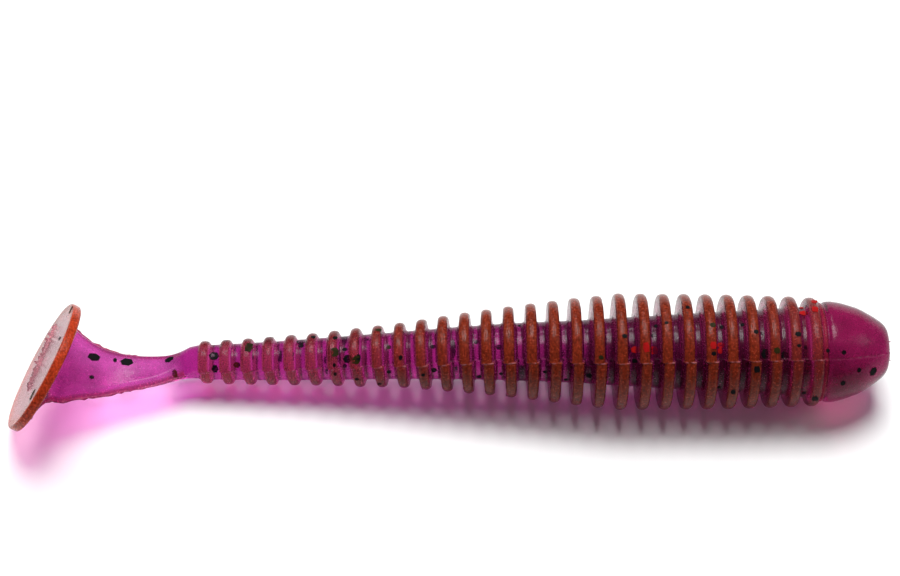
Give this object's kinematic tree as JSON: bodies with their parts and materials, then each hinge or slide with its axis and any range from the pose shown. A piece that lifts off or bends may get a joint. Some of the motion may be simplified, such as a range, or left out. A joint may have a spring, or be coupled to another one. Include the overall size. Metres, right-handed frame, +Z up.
{
  "type": "soft plastic worm",
  "caption": "Ribbed soft plastic bait with a bullet head and a round kicking paddle tail, bending at every thin place between ribs.",
  "frame": {"origin": "on the surface the bait lies on, under the middle of its bounding box", "axes": "+X toward the nose, +Y to the bait's left as it lies, +Z up"},
  "size_m": [0.0762, 0.0128, 0.0109],
  "materials": {
    "head_plastisol": "glossy translucent soft plastisol, magenta-maroon",
    "rib_plastisol": "glossy translucent soft plastisol, purple core with orange-brown rib crests",
    "tail_plastisol": "glossy translucent soft plastisol, bright magenta where thin",
    "disc_plastisol": "glossy translucent soft plastisol, pale on its face, orange-red at its rim"
  },
  "bodies": {
    "head": {"head": "head_plastisol", "segment_01": "rib_plastisol"},
    "segment_02": {"segment_02": "rib_plastisol"},
    "segment_03": {"segment_03": "rib_plastisol"},
    "segment_04": {"segment_04": "rib_plastisol"},
    "segment_05": {"segment_05": "rib_plastisol"},
    "segment_06": {"segment_06": "rib_plastisol"},
    "segment_07": {"segment_07": "rib_plastisol"},
    "segment_08": {"segment_08": "rib_plastisol"},
    "segment_09": {"segment_09": "rib_plastisol"},
    "segment_10": {"segment_10": "rib_plastisol"},
    "segment_11": {"segment_11": "rib_plastisol"},
    "segment_12": {"segment_12": "rib_plastisol"},
    "segment_13": {"segment_13": "rib_plastisol"},
    "segment_14": {"segment_14": "rib_plastisol"},
    "segment_15": {"segment_15": "rib_plastisol"},
    "segment_16": {"segment_16": "rib_plastisol"},
    "segment_17": {"segment_17": "rib_plastisol"},
    "segment_18": {"segment_18": "rib_plastisol"},
    "segment_19": {"segment_19": "rib_plastisol"},
    "segment_20": {"segment_20": "rib_plastisol"},
    "segment_21": {"segment_21": "rib_plastisol"},
    "segment_22": {"segment_22": "rib_plastisol"},
    "segment_23": {"segment_23": "rib_plastisol"},
    "segment_24": {"segment_24": "rib_plastisol"},
    "segment_25": {"segment_25": "rib_plastisol"},
    "segment_26": {"segment_26": "rib_plastisol"},
    "segment_27": {"segment_27": "rib_plastisol"},
    "segment_28": {"segment_28": "rib_plastisol"},
    "segment_29": {"segment_29": "rib_plastisol"},
    "tail_neck": {"tail_neck": "tail_plastisol"},
    "tail_stem": {"tail_stem": "tail_plastisol"},
    "tail_paddle": {"tail_web": "tail_plastisol", "paddle_disc": "disc_plastisol"}
  },
  "joints": [
    {"name": "side_bend_01", "type": "hinge", "parent": "head", "child": "segment_02", "pos_m": [0.03063, 0.00135, 0.005], "axis": [0, 0, 1], "range_deg": [-10, 10], "stiffness_Nm_per_rad": 0.0189},
    {"name": "lift_bend_02", "type": "hinge", "parent": "segment_02", "child": "segment_03", "pos_m": [0.02883, 0.00135, 0.005], "axis": [0, 1, 0], "range_deg": [-10, 10], "stiffness_Nm_per_rad": 0.0166},
    {"name": "side_bend_03", "type": "hinge", "parent": "segment_03", "child": "segment_04", "pos_m": [0.02703, 0.00135, 0.005], "axis": [0, 0, 1], "range_deg": [-10, 10], "stiffness_Nm_per_rad": 0.0147},
    {"name": "lift_bend_04", "type": "hinge", "parent": "segment_04", "child": "segment_05", "pos_m": [0.02523, 0.00135, 0.005], "axis": [0, 1, 0], "range_deg": [-10, 10], "stiffness_Nm_per_rad": 0.0131},
    {"name": "side_bend_05", "type": "hinge", "parent": "segment_05", "child": "segment_06", "pos_m": [0.0234, 0.00135, 0.005], "axis": [0, 0, 1], "range_deg": [-10, 10], "stiffness_Nm_per_rad": 0.0117},
    {"name": "lift_bend_06", "type": "hinge", "parent": "segment_06", "child": "segment_07", "pos_m": [0.02155, 0.00135, 0.005], "axis": [0, 1, 0], "range_deg": [-10, 10], "stiffness_Nm_per_rad": 0.0103},
    {"name": "side_bend_07", "type": "hinge", "parent": "segment_07", "child": "segment_08", "pos_m": [0.01969, 0.00135, 0.005], "axis": [0, 0, 1], "range_deg": [-10, 10], "stiffness_Nm_per_rad": 0.00901},
    {"name": "lift_bend_08", "type": "hinge", "parent": "segment_08", "child": "segment_09", "pos_m": [0.0178, 0.00135, 0.005], "axis": [0, 1, 0], "range_deg": [-10, 10], "stiffness_Nm_per_rad": 0.00782},
    {"name": "side_bend_09", "type": "hinge", "parent": "segment_09", "child": "segment_10", "pos_m": [0.01588, 0.00135, 0.005], "axis": [0, 0, 1], "range_deg": [-10, 10], "stiffness_Nm_per_rad": 0.00675},
    {"name": "lift_bend_10", "type": "hinge", "parent": "segment_10", "child": "segment_11", "pos_m": [0.01396, 0.00135, 0.005], "axis": [0, 1, 0], "range_deg": [-10, 10], "stiffness_Nm_per_rad": 0.00575},
    {"name": "side_bend_11", "type": "hinge", "parent": "segment_11", "child": "segment_12", "pos_m": [0.01204, 0.00135, 0.005], "axis": [0, 0, 1], "range_deg": [-10, 10], "stiffness_Nm_per_rad": 0.00481},
    {"name": "lift_bend_12", "type": "hinge", "parent": "segment_12", "child": "segment_13", "pos_m": [0.01014, 0.00135, 0.005], "axis": [0, 1, 0], "range_deg": [-10, 10], "stiffness_Nm_per_rad": 0.00416},
    {"name": "side_bend_13", "type": "hinge", "parent": "segment_13", "child": "segment_14", "pos_m": [0.00825, 0.00135, 0.005], "axis": [-0.0058, 0, 1], "range_deg": [-10, 10], "stiffness_Nm_per_rad": 0.00372},
    {"name": "lift_bend_14", "type": "hinge", "parent": "segment_14", "child": "segment_15", "pos_m": [0.00636, 0.00135, 0.00498], "axis": [0, 1, 0], "range_deg": [-10, 10], "stiffness_Nm_per_rad": 0.00332},
    {"name": "side_bend_15", "type": "hinge", "parent": "segment_15", "child": "segment_16", "pos_m": [0.00448, 0.00135, 0.00491], "axis": [-0.0418, 0, 0.9991], "range_deg": [-10, 10], "stiffness_Nm_per_rad": 0.00292},
    {"name": "lift_bend_16", "type": "hinge", "parent": "segment_16", "child": "segment_17", "pos_m": [0.00263, 0.00135, 0.00482], "axis": [0, 1, 0], "range_deg": [-10, 10], "stiffness_Nm_per_rad": 0.00254},
    {"name": "side_bend_17", "type": "hinge", "parent": "segment_17", "child": "segment_18", "pos_m": [0.00077, 0.00135, 0.0047], "axis": [-0.072, 0, 0.9974], "range_deg": [-10, 10], "stiffness_Nm_per_rad": 0.0022},
    {"name": "lift_bend_18", "type": "hinge", "parent": "segment_18", "child": "segment_19", "pos_m": [-0.00109, 0.00135, 0.00455], "axis": [0, 1, 0], "range_deg": [-10, 10], "stiffness_Nm_per_rad": 0.00189},
    {"name": "side_bend_19", "type": "hinge", "parent": "segment_19", "child": "segment_20", "pos_m": [-0.00297, 0.00135, 0.00439], "axis": [-0.0906, 0, 0.9959], "range_deg": [-10, 10], "stiffness_Nm_per_rad": 0.00161},
    {"name": "lift_bend_20", "type": "hinge", "parent": "segment_20", "child": "segment_21", "pos_m": [-0.00489, 0.00135, 0.00421], "axis": [0, 1, 0], "range_deg": [-10, 10], "stiffness_Nm_per_rad": 0.0014},
    {"name": "side_bend_21", "type": "hinge", "parent": "segment_21", "child": "segment_22", "pos_m": [-0.0068, 0.00135, 0.00402], "axis": [-0.0974, 0, 0.9952], "range_deg": [-10, 10], "stiffness_Nm_per_rad": 0.00124},
    {"name": "lift_bend_22", "type": "hinge", "parent": "segment_22", "child": "segment_23", "pos_m": [-0.00872, 0.00135, 0.00383], "axis": [0, 1, 0], "range_deg": [-10, 10], "stiffness_Nm_per_rad": 0.00109},
    {"name": "side_bend_23", "type": "hinge", "parent": "segment_23", "child": "segment_24", "pos_m": [-0.01063, 0.00135, 0.00365], "axis": [-0.0919, 0, 0.9958], "range_deg": [-10, 10], "stiffness_Nm_per_rad": 0.000952},
    {"name": "lift_bend_24", "type": "hinge", "parent": "segment_24", "child": "segment_25", "pos_m": [-0.01254, 0.00135, 0.00348], "axis": [0, 1, 0], "range_deg": [-10, 10], "stiffness_Nm_per_rad": 0.00083},
    {"name": "side_bend_25", "type": "hinge", "parent": "segment_25", "child": "segment_26", "pos_m": [-0.01444, 0.00135, 0.00333], "axis": [-0.0743, 0, 0.9972], "range_deg": [-10, 10], "stiffness_Nm_per_rad": 0.00072},
    {"name": "lift_bend_26", "type": "hinge", "parent": "segment_26", "child": "segment_27", "pos_m": [-0.01634, 0.00135, 0.00319], "axis": [0, 1, 0], "range_deg": [-10, 10], "stiffness_Nm_per_rad": 0.000621},
    {"name": "side_bend_27", "type": "hinge", "parent": "segment_27", "child": "segment_28", "pos_m": [-0.01824, 0.00135, 0.00309], "axis": [-0.0445, 0, 0.999], "range_deg": [-10, 10], "stiffness_Nm_per_rad": 0.000533},
    {"name": "lift_bend_28", "type": "hinge", "parent": "segment_28", "child": "segment_29", "pos_m": [-0.02015, 0.00135, 0.00303], "axis": [0, 1, 0], "range_deg": [-10, 10], "stiffness_Nm_per_rad": 0.000454},
    {"name": "side_bend_29", "type": "hinge", "parent": "segment_29", "child": "tail_neck", "pos_m": [-0.02203, 0.00135, 0.003], "axis": [-0.0394, -0.0025, 0.9992], "range_deg": [-10, 10], "stiffness_Nm_per_rad": 0.000419},
    {"name": "tail_kick_neck", "type": "hinge", "parent": "tail_neck", "child": "tail_stem", "pos_m": [-0.02407, 0.00085, 0.00284], "axis": [0.1984, -0.8926, 0.4048], "range_deg": [-25, 25], "stiffness_Nm_per_rad": 0.00012},
    {"name": "tail_kick_stem", "type": "hinge", "parent": "tail_stem", "child": "tail_paddle", "pos_m": [-0.02727, 0.00033, 0.00296], "axis": [0.1281, -0.9536, 0.2726], "range_deg": [-25, 25], "stiffness_Nm_per_rad": 0.00006}
  ],
  "couplings": [
    {"joint": "side_bend_03", "follows": "side_bend_01", "ratio": 1},
    {"joint": "lift_bend_04", "follows": "lift_bend_02", "ratio": 1},
    {"joint": "side_bend_05", "follows": "side_bend_01", "ratio": 1},
    {"joint": "lift_bend_06", "follows": "lift_bend_02", "ratio": 1},
    {"joint": "side_bend_07", "follows": "side_bend_01", "ratio": 1},
    {"joint": "lift_bend_08", "follows": "lift_bend_02", "ratio": 1},
    {"joint": "side_bend_09", "follows": "side_bend_01", "ratio": 1},
    {"joint": "lift_bend_12", "follows": "lift_bend_10", "ratio": 1},
    {"joint": "side_bend_13", "follows": "side_bend_11", "ratio": 1},
    {"joint": "lift_bend_14", "follows": "lift_bend_10", "ratio": 1},
    {"joint": "side_bend_15", "follows": "side_bend_11", "ratio": 1},
    {"joint": "lift_bend_16", "follows": "lift_bend_10", "ratio": 1},
    {"joint": "side_bend_17", "follows": "side_bend_11", "ratio": 1},
    {"joint": "lift_bend_18", "follows": "lift_bend_10", "ratio": 1},
    {"joint": "side_bend_19", "follows": "side_bend_11", "ratio": 1},
    {"joint": "lift_bend_22", "follows": "lift_bend_20", "ratio": 1},
    {"joint": "side_bend_23", "follows": "side_bend_21", "ratio": 1},
    {"joint": "lift_bend_24", "follows": "lift_bend_20", "ratio": 1},
    {"joint": "side_bend_25", "follows": "side_bend_21", "ratio": 1},
    {"joint": "lift_bend_26", "follows": "lift_bend_20", "ratio": 1},
    {"joint": "side_bend_27", "follows": "side_bend_21", "ratio": 1},
    {"joint": "lift_bend_28", "follows": "lift_bend_20", "ratio": 1},
    {"joint": "side_bend_29", "follows": "side_bend_21", "ratio": 1},
    {"joint": "tail_kick_neck", "follows": "tail_kick_stem", "ratio": 1}
  ]
}
